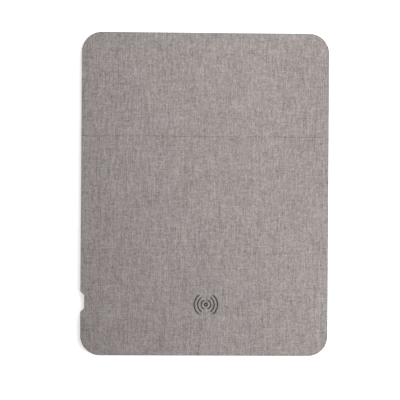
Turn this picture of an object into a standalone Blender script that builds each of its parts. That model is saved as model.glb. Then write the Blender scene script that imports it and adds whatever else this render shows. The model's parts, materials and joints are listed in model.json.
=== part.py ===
"""Folding desk pad with a wireless charger inside.

The pad lies flat on a desk. Three stiff panels share one woven fabric skin, which is also their hinge. The far
panel folds up and over the middle one, and the charging panel folds up and over both, round a narrow spine strip.
Metres, +Z up. The origin is on the desk under the middle of the open pad, +Y is the far end, and the plug comes in
from -X. Every piece is one closed solid in an object of its own.
"""

from math import cos, hypot, pi, sin, tan

import bmesh
import bpy
from mathutils import Matrix, Vector

MM = 0.001

# Outline of the open pad
PAD_WIDTH = 230 * MM
PAD_LENGTH = 300 * MM
CORNER_RADIUS = 18.5 * MM
CORNER_STEPS = 10

# Panels, from each end to its fold line. The middle panel takes what is left.
FAR_PANEL_LENGTH = 96.5 * MM
CHARGING_PANEL_LENGTH = 94.8 * MM
SPINE_CLEARANCE = 0.4 * MM
FOLD_GAP = 0.3 * MM
BOARD_SETBACK = 3.0 * MM
SPINE_STRIP_SETBACK = 1.5 * MM

# Layers, from the desk up
BACKING_THICKNESS = 0.8 * MM
TURN_IN_THICKNESS = 0.5 * MM
FABRIC_THICKNESS = 0.9 * MM
GLUE_GAP = 0.2 * MM
FOLD_AXIS_RISE = 0.1 * MM

# Edges
TURN_IN_WIDTH = 10.0 * MM
FAR_RELIEF_HALF_WIDTH = 2.6 * MM
SPINE_RELIEF_HALF_WIDTH = 1.4 * MM
BACKING_INSET = 3.5 * MM
BACKING_CORNER_STEPS = 6
FIT_GAP = 0.3 * MM
SMALLEST_RADIUS = 0.2 * MM

# Recess in the edge for the plug's grip
NOTCH_DEPTH = 3.5 * MM
NOTCH_FLOOR_WIDTH = 12.4 * MM
NOTCH_MOUTH_WIDTH = 18.6 * MM
NOTCH_MOUTH_RADIUS = 2.0 * MM
NOTCH_FLOOR_RADIUS = 1.0 * MM
PORT_FROM_NEAR_EDGE = 49.7 * MM

# Socket for the plug
SOCKET_WIDTH = 8.94 * MM
SOCKET_HEIGHT = 3.16 * MM
SOCKET_DEPTH = 7.3 * MM
SOCKET_WALL = 0.3 * MM
SOCKET_HEADROOM = 0.12 * MM
TONGUE_WIDTH = 6.69 * MM
TONGUE_THICKNESS = 0.7 * MM
TONGUE_SETBACK = 0.6 * MM
TONGUE_ROOT_DEPTH = 2.0 * MM
BEZEL_THICKNESS = 0.8 * MM
BEZEL_WIDTH = 11.6 * MM
BEZEL_CORNER_RADIUS = 0.3 * MM
BEZEL_SLOT_MARGIN = 0.12 * MM
SLOT_ROUNDNESS = 0.999

# Housing of the circuit board
HOUSING_LENGTH = 44.3 * MM
HOUSING_WIDTH = 28.0 * MM
HOUSING_WALL = 0.8 * MM
TRAY_FLOOR = 0.4 * MM
LID_THICKNESS = 0.35 * MM
CIRCUIT_BOARD_THICKNESS = 0.8 * MM
COMPONENT_GAP = 0.2 * MM
COMPONENT_EDGE = 0.08 * MM
BEZEL_TO_HOUSING = 0.4 * MM

# Components: length, width and height, and where their rows and columns lie on the free part of the board
CONTROL_CHIP = (5 * MM, 5 * MM, 0.9 * MM)
BRIDGE_CHIP = (4 * MM, 4 * MM, 0.8 * MM)
INDUCTOR = (4 * MM, 4 * MM, 1.0 * MM)
CRYSTAL = (3.2 * MM, 2.5 * MM, 0.7 * MM)
INPUT_CAPACITOR = (1.6 * MM, 3.2 * MM, 1.0 * MM)
RESONANT_CAPACITOR = (3.2 * MM, 2.5 * MM, 1.0 * MM)
COLUMN_SHARES = (0.28, 0.53, 0.79)
INNER_ROW_SHARE = 0.45
OUTER_ROW_SETBACK = 2.5 * MM

# Coil: one wire from the circuit board, round the spiral and back under it
COIL_FROM_NEAR_EDGE = 47.5 * MM
COIL_OFFSET_X = 1.5 * MM
COIL_OUTER_RADIUS = 22.4 * MM
COIL_TURNS = 10
COIL_PITCH = 1.17 * MM
WIRE_DIAMETER = 0.8 * MM
WIRE_BEND = 3.5 * MM
INNER_BEND = 1.6 * MM
COIL_STEPS_PER_TURN = 28
FERRITE_RADIUS = 25.5 * MM
FERRITE_THICKNESS = 0.8 * MM
FERRITE_TO_WIRE = 0.4 * MM
COIL_DISC_THICKNESS = 0.45 * MM
WIRE_TO_DISC = 0.25 * MM
ROUND_STEPS = 48
LEAD_LANDING = 4.0 * MM
LEAD_RISE_LENGTH = 6.0 * MM
BEND_STEPS = 6
INNER_LOOP_STEPS = 14
WIRE_HOLE_STEPS = 20

# Heights that follow from the layers. The boards are as thick as the taller of the two things they hide.
turn_in_bottom = BACKING_THICKNESS + GLUE_GAP
turn_in_top = turn_in_bottom + TURN_IN_THICKNESS
board_bottom = turn_in_top + GLUE_GAP
coil_stack = FERRITE_THICKNESS + FERRITE_TO_WIRE + WIRE_DIAMETER + WIRE_TO_DISC + COIL_DISC_THICKNESS
socket_stack = SOCKET_HEIGHT + 2 * SOCKET_HEADROOM - TURN_IN_THICKNESS - GLUE_GAP
board_top = board_bottom + max(coil_stack, socket_stack)
skin_bottom = board_top + GLUE_GAP
pad_top = skin_bottom + FABRIC_THICKNESS
fold_height = pad_top + FOLD_AXIS_RISE

# Fold lines. The spine is as wide as the folded far panel is thick, so the charging panel closes flat over it.
half_width = PAD_WIDTH / 2
near_edge = -PAD_LENGTH / 2
far_edge = PAD_LENGTH / 2
far_fold = far_edge - FAR_PANEL_LENGTH
charging_fold = near_edge + CHARGING_PANEL_LENGTH
spine_fold = charging_fold + pad_top + SPINE_CLEARANCE

port_y = near_edge + PORT_FROM_NEAR_EDGE
notch_floor_x = -half_width + NOTCH_DEPTH
coil_x = COIL_OFFSET_X
coil_y = near_edge + COIL_FROM_NEAR_EDGE


def clear_scene():
    for obj in list(bpy.data.objects):
        bpy.data.objects.remove(obj, do_unlink=True)


def principled(name, colour, roughness, metallic=0.0):
    material = bpy.data.materials.new(name)
    material.use_nodes = True
    shader = material.node_tree.nodes["Principled BSDF"]
    shader.inputs["Base Color"].default_value = (*colour, 1.0)
    shader.inputs["Roughness"].default_value = roughness
    shader.inputs["Metallic"].default_value = metallic
    return material


def add_axis(name, y, z):
    """An empty on a fold line, which carries the pieces that turn about it."""
    empty = bpy.data.objects.new(name, None)
    empty.location = (0, y, z)
    bpy.context.scene.collection.objects.link(empty)
    return empty


def add_object(name, data, material=None, axis=None):
    """Link a mesh or curve made in place, and hang it on its fold line."""
    obj = bpy.data.objects.new(name, data)
    bpy.context.scene.collection.objects.link(obj)
    if material:
        data.materials.append(material)
    if axis:
        data.transform(Matrix.Translation(-axis.location))
        obj.parent = axis
    return obj


# Outlines are lists of corners (x, y, radius), counter-clockwise. Edge i runs from corner i to the next one.

def inset_outline(corners, insets):
    """Move each edge inwards by its own inset. Rounded corners keep their centres."""
    count = len(corners)
    result = []
    for i in range(count):
        before, here, after = corners[i - 1], corners[i], corners[(i + 1) % count]
        lines = []
        for start, end, inset in ((before, here, insets[i - 1]), (here, after, insets[i])):
            direction = Vector((end[0] - start[0], end[1] - start[1])).normalized()
            inward = Vector((-direction.y, direction.x))
            lines.append((Vector(start[:2]) + inward * inset, direction))
        (p, d), (q, e) = lines
        turn = d.x * e.y - d.y * e.x
        along = ((q.x - p.x) * e.y - (q.y - p.y) * e.x) / turn
        point = p + d * along
        radius = here[2]
        if radius:
            change = min(insets[i - 1], insets[i])
            radius = max(radius - change if turn > 0 else radius + change, SMALLEST_RADIUS)
        result.append((point.x, point.y, radius))
    return result


def round_outline(corners, steps):
    """Replace each corner that has a radius with an arc."""
    count = len(corners)
    points = []
    for i in range(count):
        here = Vector(corners[i][:2])
        radius = corners[i][2]
        if not radius:
            points.append(here)
            continue
        to_before = (Vector(corners[i - 1][:2]) - here).normalized()
        to_after = (Vector(corners[(i + 1) % count][:2]) - here).normalized()
        half_angle = to_before.angle(to_after) / 2
        reach = radius / tan(half_angle)
        start = here + to_before * reach
        centre = here + (to_before + to_after).normalized() * (radius / sin(half_angle))
        spoke = start - centre
        clockwise = to_before.x * to_after.y - to_before.y * to_after.x > 0
        sweep = (pi - 2 * half_angle) * (-1 if clockwise else 1)
        arc_steps = max(2, round(steps * abs(sweep) / (pi / 2)))
        for k in range(arc_steps + 1):
            points.append(centre + Matrix.Rotation(sweep * k / arc_steps, 2) @ spoke)
    return points


def rectangle(x0, x1, y0, y1, radius=0.0):
    return [(x0, y0, radius), (x1, y0, radius), (x1, y1, radius), (x0, y1, radius)]


def prism(points, low, high, along_x=False):
    """Extrude an outline up from low to high, or along X when its points are (y, z)."""
    bm = bmesh.new()
    if along_x:
        corners = [bm.verts.new((low, p[0], p[1])) for p in points]
        travel = (high - low, 0, 0)
    else:
        corners = [bm.verts.new((p[0], p[1], low)) for p in points]
        travel = (0, 0, high - low)
    face = bm.faces.new(corners)
    extruded = bmesh.ops.extrude_face_region(bm, geom=[face])
    top = [item for item in extruded["geom"] if isinstance(item, bmesh.types.BMVert)]
    bmesh.ops.translate(bm, verts=top, vec=travel)
    bmesh.ops.recalc_face_normals(bm, faces=bm.faces)
    mesh = bpy.data.meshes.new("prism")
    bm.to_mesh(mesh)
    bm.free()
    return mesh


def block(x0, x1, y0, y1, low, high):
    return prism(rectangle(x0, x1, y0, y1), low, high)


def disc(x, y, radius, low, high, steps=ROUND_STEPS):
    points = [(x + radius * cos(2 * pi * k / steps), y + radius * sin(2 * pi * k / steps)) for k in range(steps)]
    return prism(points, low, high)


def slot_outline(y, z, width, height, steps=6):
    """A slot with round ends, as points (y, z). The ends stop just short of half circles, which would meet in a point."""
    radius = height / 2
    corners = rectangle(y - width / 2, y + width / 2, z - radius, z + radius, radius * SLOT_ROUNDNESS)
    return round_outline(corners, steps)


def cut(obj, mesh, name):
    """Take a shape away from an object with a hidden cutter."""
    cutter = add_object(f"cutter_{obj.name}_{name}", mesh)
    cutter.hide_render = True
    cutter.display_type = "WIRE"
    modifier = obj.modifiers.new(name, "BOOLEAN")
    modifier.object = cutter
    modifier.operation = "DIFFERENCE"
    modifier.solver = "EXACT"


# A panel is its corners, and its fold lines as a dictionary of edge number to (y, half width of the relief).

def far_panel():
    corners = rectangle(-half_width, half_width, far_fold, far_edge)
    rounded = corners[:2] + [(x, y, CORNER_RADIUS) for x, y, _ in corners[2:]]
    return rounded, {0: (far_fold, FAR_RELIEF_HALF_WIDTH)}


def middle_panel():
    folds = {0: (spine_fold, SPINE_RELIEF_HALF_WIDTH), 2: (far_fold, FAR_RELIEF_HALF_WIDTH)}
    return rectangle(-half_width, half_width, spine_fold, far_fold), folds


def spine_panel():
    folds = {0: (charging_fold, SPINE_RELIEF_HALF_WIDTH), 2: (spine_fold, SPINE_RELIEF_HALF_WIDTH)}
    return rectangle(-half_width, half_width, charging_fold, spine_fold), folds


def charging_panel():
    """The panel with the recess for the plug in its left side."""
    left, right = -half_width, half_width
    corners = [
        (left, near_edge, CORNER_RADIUS),
        (right, near_edge, CORNER_RADIUS),
        (right, charging_fold, 0.0),
        (left, charging_fold, 0.0),
        (left, port_y + NOTCH_MOUTH_WIDTH / 2, NOTCH_MOUTH_RADIUS),
        (notch_floor_x, port_y + NOTCH_FLOOR_WIDTH / 2, NOTCH_FLOOR_RADIUS),
        (notch_floor_x, port_y - NOTCH_FLOOR_WIDTH / 2, NOTCH_FLOOR_RADIUS),
        (left, port_y - NOTCH_MOUTH_WIDTH / 2, NOTCH_MOUTH_RADIUS),
    ]
    return corners, {2: (charging_fold, SPINE_RELIEF_HALF_WIDTH)}


def panel_prism(panel, inset, fold_inset, low, high, steps=CORNER_STEPS):
    """A panel-shaped plate, inset from the pad's edges and, by another amount, from its fold lines."""
    corners, folds = panel
    insets = [fold_inset if i in folds else inset for i in range(len(corners))]
    return prism(round_outline(inset_outline(corners, insets), steps), low, high)


def add_cover(name, panel, axis):
    """Fabric skin: over the top, down the side and turned in under the board, with a V cut at each fold line."""
    mesh = panel_prism(panel, 0.0, FOLD_GAP / 2, turn_in_bottom, pad_top)
    cover = add_object(name, mesh, fabric, axis)
    past_fold = -2 * BOARD_SETBACK
    cut(cover, panel_prism(panel, FABRIC_THICKNESS, past_fold, turn_in_top, skin_bottom), "board_space")
    below = turn_in_bottom - GLUE_GAP / 2
    above = turn_in_top + GLUE_GAP / 2
    cut(cover, panel_prism(panel, TURN_IN_WIDTH, past_fold, below, above), "underside")
    for edge, (fold, half) in panel[1].items():
        wedge = [(fold - half, below), (fold + half, below), (fold, skin_bottom)]
        cut(cover, prism(wedge, -half_width - MM, half_width + MM, True), f"relief_{edge}")
    return cover


def add_board(name, panel, setback, axis):
    inset = FABRIC_THICKNESS + FIT_GAP
    return add_object(name, panel_prism(panel, inset, setback, board_bottom, board_top), card, axis)


def add_infill(name, panel, axis):
    """Sheet that levels the underside inside the turned-in fabric."""
    inset = TURN_IN_WIDTH + FIT_GAP
    return add_object(name, panel_prism(panel, inset, BOARD_SETBACK, turn_in_bottom, turn_in_top), felt, axis)


def add_backing(name, panel, setback, axis):
    mesh = panel_prism(panel, BACKING_INSET, setback, 0.0, BACKING_THICKNESS, BACKING_CORNER_STEPS)
    return add_object(name, mesh, rubber, axis)


def build_panels():
    """The three panels and the spine, layer by layer."""
    for place, panel, axis in (
        ("far", far_panel(), far_axis),
        ("middle", middle_panel(), None),
        ("charging", charging_panel(), charging_axis),
    ):
        layers[place] = {
            "cover": add_cover(f"fabric_cover_{place}", panel, axis),
            "board": add_board(f"core_board_{place}", panel, BOARD_SETBACK, axis),
            "infill": add_infill(f"infill_sheet_{place}", panel, axis),
            "backing": add_backing(f"backing_{place}", panel, BOARD_SETBACK, axis),
        }
    add_cover("fabric_cover_spine", spine_panel(), spine_axis)
    add_board("core_strip_spine", spine_panel(), SPINE_STRIP_SETBACK, spine_axis)
    add_backing("backing_spine", spine_panel(), SPINE_STRIP_SETBACK, spine_axis)


# The port and its housing. Across the pad everything is centred on port_y, and along it on the recess.
bezel_front = notch_floor_x
bezel_back = bezel_front + BEZEL_THICKNESS
socket_front = bezel_back + FIT_GAP
socket_back = socket_front + SOCKET_DEPTH
socket_z = (turn_in_bottom + board_top) / 2
socket_clear = SOCKET_WIDTH / 2 + FIT_GAP
housing_front = bezel_back + BEZEL_TO_HOUSING
housing_back = housing_front + HOUSING_LENGTH
housing_low = port_y - HOUSING_WIDTH / 2
housing_high = port_y + HOUSING_WIDTH / 2
tray_inner_front = housing_front + HOUSING_WALL
tray_inner_back = housing_back - HOUSING_WALL
tray_floor_top = turn_in_bottom + TRAY_FLOOR
lid_bottom = board_top - LID_THICKNESS
tray_rim = lid_bottom - GLUE_GAP
circuit_bottom = tray_floor_top + FIT_GAP
circuit_top = circuit_bottom + CIRCUIT_BOARD_THICKNESS
component_bottom = circuit_top + COMPONENT_GAP
component_room = tray_rim - component_bottom

# The wire's levels: the spiral lies over the ferrite, and the inner end comes back through a slot in it.
ferrite_top = board_bottom + FERRITE_THICKNESS
wire_level = ferrite_top + FERRITE_TO_WIRE + WIRE_DIAMETER / 2
under_level = ferrite_top - WIRE_DIAMETER / 2
coil_inner_radius = COIL_OUTER_RADIUS - COIL_TURNS * COIL_PITCH
outer_lead_y = coil_y + WIRE_BEND
inner_lead_y = coil_y + INNER_BEND
lead_middle_y = (outer_lead_y + inner_lead_y) / 2
lead_half_room = (outer_lead_y - inner_lead_y) / 2 + WIRE_DIAMETER / 2 + 2 * FIT_GAP
pocket_radius = FERRITE_RADIUS + FIT_GAP
inner_loop_x = coil_x - coil_inner_radius + INNER_BEND
lead_end_x = tray_inner_back - LEAD_LANDING


def make_room_for_port():
    """Openings in the charging panel's layers for the housing, the bezel and the coil."""
    low, high = housing_low - FIT_GAP, housing_high + FIT_GAP
    back = housing_back + FIT_GAP
    outside = -half_width - FIT_GAP
    turn_in = (turn_in_bottom - GLUE_GAP / 2, turn_in_top + GLUE_GAP / 2)
    cover = layers["charging"]["cover"]
    cut(cover, block(housing_front - FIT_GAP, back, low, high, *turn_in), "housing_space")
    half = BEZEL_WIDTH / 2 + FIT_GAP
    window = block(bezel_front - FIT_GAP, housing_front, port_y - half, port_y + half, turn_in[0], skin_bottom)
    cut(cover, window, "port_window")
    cut(layers["charging"]["infill"], block(outside, back, low, high, *turn_in), "housing_space")
    board = layers["charging"]["board"]
    under, over = board_bottom - GLUE_GAP / 2, board_top + GLUE_GAP / 2
    cut(board, block(outside, back, low, high, under, over), "housing_space")
    cut(board, disc(coil_x, coil_y, pocket_radius, under, over), "coil_space")
    channel_low, channel_high = lead_middle_y - lead_half_room, lead_middle_y + lead_half_room
    cut(board, block(housing_back, coil_x, channel_low, channel_high, under, over), "lead_channel")


def build_port():
    """Bezel, metal socket shell and the tongue inside it."""
    half = BEZEL_WIDTH / 2
    plate = rectangle(port_y - half, port_y + half, turn_in_bottom, board_top, BEZEL_CORNER_RADIUS)
    bezel = add_object("port_bezel", prism(round_outline(plate, 2), bezel_front, bezel_back, True), plastic,
                       charging_axis)
    inner_width = SOCKET_WIDTH - 2 * SOCKET_WALL
    inner_height = SOCKET_HEIGHT - 2 * SOCKET_WALL
    margin = 2 * BEZEL_SLOT_MARGIN
    slot = slot_outline(port_y, socket_z, inner_width + margin, inner_height + margin)
    cut(bezel, prism(slot, bezel_front - MM, bezel_back + MM, True), "slot")

    outside = slot_outline(port_y, socket_z, SOCKET_WIDTH, SOCKET_HEIGHT)
    shell = add_object("socket_shell", prism(outside, socket_front, socket_back, True), steel, charging_axis)
    inside = slot_outline(port_y, socket_z, inner_width, inner_height)
    cut(shell, prism(inside, socket_front - MM, socket_back + MM, True), "mouth")

    root_width = inner_width - 2 * GLUE_GAP
    root_height = inner_height - 2 * GLUE_GAP
    root = slot_outline(port_y, socket_z, root_width, root_height)
    front = socket_front + TONGUE_SETBACK
    step = socket_back - TONGUE_ROOT_DEPTH
    tongue = add_object("socket_tongue", prism(root, front, socket_back, True), black_plastic, charging_axis)
    for name, low, high in (
        ("above", socket_z + TONGUE_THICKNESS / 2, socket_z + root_height),
        ("below", socket_z - root_height, socket_z - TONGUE_THICKNESS / 2),
    ):
        cut(tongue, block(front - MM, step, port_y - root_width, port_y + root_width, low, high), name)
    for name, side in (("left", -1), ("right", 1)):
        edges = sorted((port_y + side * TONGUE_WIDTH / 2, port_y + side * root_width))
        cut(tongue, block(front - MM, step, *edges, socket_z - TONGUE_THICKNESS, socket_z + TONGUE_THICKNESS), name)


def build_housing():
    """Tray and lid round the circuit board, open where the socket and the two leads pass."""
    socket_gap = (port_y - socket_clear, port_y + socket_clear)
    socket_end = socket_back + FIT_GAP
    tray = add_object("module_tray", block(housing_front, housing_back, housing_low, housing_high,
                                           turn_in_bottom, tray_rim), plastic, charging_axis)
    inside = block(tray_inner_front, tray_inner_back, housing_low + HOUSING_WALL, housing_high - HOUSING_WALL,
                   tray_floor_top, board_top)
    cut(tray, inside, "inside")
    cut(tray, block(bezel_front, socket_end, *socket_gap, 0.0, board_top), "socket_gap")
    leads = (lead_middle_y - lead_half_room, lead_middle_y + lead_half_room)
    cut(tray, block(tray_inner_back - FIT_GAP, housing_back + MM, *leads, circuit_top, board_top), "lead_gap")
    lid = add_object("module_lid", block(housing_front, housing_back, housing_low, housing_high, lid_bottom,
                                         board_top), plastic, charging_axis)
    cut(lid, block(bezel_front, socket_end, *socket_gap, 0.0, pad_top), "socket_gap")

    x0, x1 = tray_inner_front + FIT_GAP, tray_inner_back - FIT_GAP
    y0, y1 = housing_low + HOUSING_WALL + FIT_GAP, housing_high - HOUSING_WALL - FIT_GAP
    circuit = add_object("circuit_board", block(x0, x1, y0, y1, circuit_bottom, circuit_top), green_board,
                         charging_axis)
    cut(circuit, block(x0 - MM, socket_end, *socket_gap, 0.0, pad_top), "socket_gap")


def add_component(name, x, across, size, material):
    """A part soldered on the board, at x and across from the port's centre line."""
    length, width, height = size
    y = port_y + across
    top = component_bottom + min(height, component_room)
    mesh = block(x - length / 2, x + length / 2, y - width / 2, y + width / 2, component_bottom, top)
    obj = add_object(name, mesh, material, charging_axis)
    bevel = obj.modifiers.new("edges", "BEVEL")
    bevel.width = COMPONENT_EDGE
    bevel.segments = 1


def build_components():
    """Controller, coil driver, filter and the capacitors that tune the coil, in columns behind the socket."""
    free_length = lead_end_x - socket_back
    columns = [socket_back + free_length * part for part in COLUMN_SHARES]
    board_half = HOUSING_WIDTH / 2 - HOUSING_WALL - FIT_GAP
    inner_row, outer_row = board_half * INNER_ROW_SHARE, board_half - OUTER_ROW_SETBACK
    beside_socket = (socket_clear + board_half) / 2
    add_component("control_chip", columns[0], inner_row, CONTROL_CHIP, chip)
    add_component("filter_inductor", columns[0], -inner_row, INDUCTOR, ferrite)
    add_component("crystal", columns[0], 0.0, CRYSTAL, steel)
    add_component("bridge_chip_1", columns[1], inner_row, BRIDGE_CHIP, chip)
    add_component("bridge_chip_2", columns[1], -inner_row, BRIDGE_CHIP, chip)
    for i, across in enumerate((-beside_socket, beside_socket)):
        x = (socket_front + socket_back) / 2
        add_component(f"input_capacitor_{i + 1}", x, across, INPUT_CAPACITOR, ceramic)
    for i, across in enumerate((-outer_row, -inner_row, inner_row, outer_row)):
        add_component(f"resonant_capacitor_{i + 1}", columns[2], across, RESONANT_CAPACITOR, ceramic)


def arc(centre, radius, start, sweep, level, end_level, steps):
    """Points along an arc that climbs or drops evenly, without its first point."""
    points = []
    for k in range(1, steps + 1):
        part = k / steps
        angle = start + sweep * part
        x, y = centre[0] + radius * cos(angle), centre[1] + radius * sin(angle)
        points.append((x, y, level + (end_level - level) * part))
    return points


def wire_route():
    """From the board, round the spiral from outside in, down a loop, under the turns and back to the board."""
    points = [(lead_end_x, outer_lead_y, wire_level)]
    points.append((coil_x - COIL_OUTER_RADIUS - WIRE_BEND, outer_lead_y, wire_level))
    bend_centre = (coil_x - COIL_OUTER_RADIUS - WIRE_BEND, coil_y)
    points += arc(bend_centre, WIRE_BEND, pi / 2, -pi / 2, wire_level, wire_level, BEND_STEPS)
    for k in range(1, COIL_TURNS * COIL_STEPS_PER_TURN + 1):
        turns = k / COIL_STEPS_PER_TURN
        radius = COIL_OUTER_RADIUS - COIL_PITCH * turns
        angle = pi + 2 * pi * turns
        points.append((coil_x + radius * cos(angle), coil_y + radius * sin(angle), wire_level))
    points += arc((inner_loop_x, coil_y), INNER_BEND, pi, 1.5 * pi, wire_level, under_level, INNER_LOOP_STEPS)
    rise_end = housing_back + 2 * FIT_GAP
    points.append((rise_end + LEAD_RISE_LENGTH, inner_lead_y, under_level))
    points.append((rise_end, inner_lead_y, wire_level))
    points.append((lead_end_x, inner_lead_y, wire_level))
    return points


def build_coil():
    """Ferrite, the wire with its two leads, and the disc that carries the fabric over them."""
    plate = add_object("ferrite_plate", disc(coil_x, coil_y, FERRITE_RADIUS, board_bottom, ferrite_top), ferrite,
                       charging_axis)
    under, over = board_bottom - GLUE_GAP, ferrite_top + GLUE_GAP
    half_slot = WIRE_DIAMETER / 2 + FIT_GAP
    slot = block(coil_x - FERRITE_RADIUS - MM, inner_loop_x, inner_lead_y - half_slot, inner_lead_y + half_slot,
                 under, over)
    cut(plate, slot, "wire_slot")
    cut(plate, disc(inner_loop_x, coil_y, INNER_BEND + half_slot, under, over, WIRE_HOLE_STEPS), "wire_hole")

    curve = bpy.data.curves.new("charging_coil", "CURVE")
    curve.dimensions = "3D"
    curve.bevel_depth = WIRE_DIAMETER / 2
    curve.bevel_resolution = 1
    curve.use_fill_caps = True
    spline = curve.splines.new("POLY")
    route = wire_route()
    spline.points.add(len(route) - 1)
    for point, place in zip(spline.points, route):
        point.co = (*place, 1.0)
    add_object("charging_coil", curve, copper, charging_axis)

    disc_bottom = wire_level + WIRE_DIAMETER / 2 + WIRE_TO_DISC
    add_object("coil_disc", disc(coil_x, coil_y, FERRITE_RADIUS, disc_bottom, board_top), felt, charging_axis)


clear_scene()

fabric = principled("linen_fabric", (0.33, 0.29, 0.275), 0.9)
card = principled("fibre_board", (0.16, 0.13, 0.10), 0.9)
felt = principled("levelling_felt", (0.30, 0.30, 0.30), 0.95)
rubber = principled("grip_rubber", (0.05, 0.05, 0.052), 0.7)
plastic = principled("grey_plastic", (0.10, 0.10, 0.10), 0.5)
black_plastic = principled("black_plastic", (0.02, 0.02, 0.02), 0.4)
steel = principled("socket_steel", (0.62, 0.61, 0.58), 0.3, 1.0)
green_board = principled("circuit_board", (0.02, 0.12, 0.05), 0.4)
chip = principled("chip_resin", (0.03, 0.03, 0.03), 0.5)
ceramic = principled("capacitor_ceramic", (0.35, 0.24, 0.15), 0.5)
copper = principled("copper_wire", (0.72, 0.34, 0.16), 0.35, 1.0)
ferrite = principled("ferrite", (0.07, 0.07, 0.075), 0.6)

far_axis = add_axis("far_fold_axis", far_fold, fold_height)
spine_axis = add_axis("spine_fold_axis", spine_fold, fold_height)
charging_axis = add_axis("charging_fold_axis", charging_fold, fold_height)
charging_axis.parent = spine_axis
charging_axis.matrix_parent_inverse = Matrix.Translation(-spine_axis.location)

layers = {}
build_panels()
make_room_for_port()
build_port()
build_housing()
build_components()
build_coil()
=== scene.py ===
# %% [markdown]
# # A folding desk pad with a wireless charger
#
# The pad is three stiff panels under one sheet of linen-look fabric. The fabric is the hinge: the far
# panel folds over the middle one, and the charging panel folds over both, round a narrow spine. The
# solids that fix every size come in with the frame, and each cell below turns one of them into
# something that looks made. Lengths are metres.

import json
from math import exp, pi, radians

import bmesh
import bpy
from mathutils import Matrix, Vector, noise


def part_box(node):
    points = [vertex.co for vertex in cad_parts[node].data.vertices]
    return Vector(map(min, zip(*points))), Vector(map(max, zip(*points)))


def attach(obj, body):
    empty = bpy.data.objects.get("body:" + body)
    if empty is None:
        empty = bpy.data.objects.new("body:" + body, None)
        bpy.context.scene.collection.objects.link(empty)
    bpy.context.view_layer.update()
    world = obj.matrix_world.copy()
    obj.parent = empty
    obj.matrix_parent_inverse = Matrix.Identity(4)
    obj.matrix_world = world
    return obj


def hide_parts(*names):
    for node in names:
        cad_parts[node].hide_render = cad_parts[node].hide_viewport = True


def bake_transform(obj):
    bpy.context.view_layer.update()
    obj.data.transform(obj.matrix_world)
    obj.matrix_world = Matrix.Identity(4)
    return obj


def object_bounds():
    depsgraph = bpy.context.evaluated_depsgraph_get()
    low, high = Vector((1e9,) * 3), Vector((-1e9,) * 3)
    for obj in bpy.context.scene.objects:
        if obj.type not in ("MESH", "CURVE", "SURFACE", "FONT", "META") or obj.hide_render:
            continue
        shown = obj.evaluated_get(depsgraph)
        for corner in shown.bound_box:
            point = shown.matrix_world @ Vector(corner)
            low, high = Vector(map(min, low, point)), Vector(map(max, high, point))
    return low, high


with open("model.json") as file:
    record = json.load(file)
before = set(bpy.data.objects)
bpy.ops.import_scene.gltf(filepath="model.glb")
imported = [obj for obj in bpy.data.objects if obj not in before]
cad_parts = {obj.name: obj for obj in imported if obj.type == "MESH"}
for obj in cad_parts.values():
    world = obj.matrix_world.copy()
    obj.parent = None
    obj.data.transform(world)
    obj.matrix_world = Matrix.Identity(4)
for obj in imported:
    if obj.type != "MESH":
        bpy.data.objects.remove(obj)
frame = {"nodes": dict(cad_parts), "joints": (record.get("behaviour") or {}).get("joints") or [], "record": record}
cad_box = [list(corner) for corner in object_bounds()]
MM = 0.001
print("pad in mm:", [round((high - low) / MM, 1) for low, high in zip(*cad_box)])

# %% [markdown]
# Three things are read from the frame over and over: the pad's own box, the fold lines, and the middle
# of the coil, which is where a phone is laid. Taking them from the frame keeps every later piece on the
# solids.

# %% Key places
left, near, _ = cad_box[0]
right, far, top = cad_box[1]
folds = {joint["name"]: joint["pos_m"][1] for joint in frame["joints"]}
far_fold, spine_fold, charging_fold = folds["far_fold"], folds["spine_fold"], folds["charging_fold"]
middle_cut = (far_fold + spine_fold) / 2
spine_cut = (spine_fold + charging_fold) / 2
coil_low, coil_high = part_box("ferrite_plate")
coil_centre = (coil_low + coil_high) / 2
skin_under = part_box("core_board_middle")[1].z
print("folds in mm:", [round(y / MM, 1) for y in (far_fold, spine_fold, charging_fold)])

# %% [markdown]
# A material is a small graph of nodes. Writing it as Python expressions keeps it readable: `Value`
# wraps a socket, and adding or multiplying two values adds the Math node that does it. Every other node
# comes from `Finish.add`.

# %% Shader maths
class Value:
    """A number or vector on a wire between nodes."""

    def __init__(self, finish, socket):
        self.finish = finish
        self.socket = socket

    def maths(self, operation, *others):
        return self.finish.maths(operation, self, *others)

    def __add__(self, other):
        return self.maths("ADD", other)

    __radd__ = __add__

    def __sub__(self, other):
        return self.maths("SUBTRACT", other)

    def __rsub__(self, other):
        return self.finish.maths("SUBTRACT", other, self)

    def __mul__(self, other):
        return self.maths("MULTIPLY", other)

    __rmul__ = __mul__

    def __truediv__(self, other):
        return self.maths("DIVIDE", other)

    def __abs__(self):
        return self.maths("ABSOLUTE")

    def __lt__(self, other):
        return self.maths("LESS_THAN", other)

    def __gt__(self, other):
        return self.maths("GREATER_THAN", other)


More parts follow.
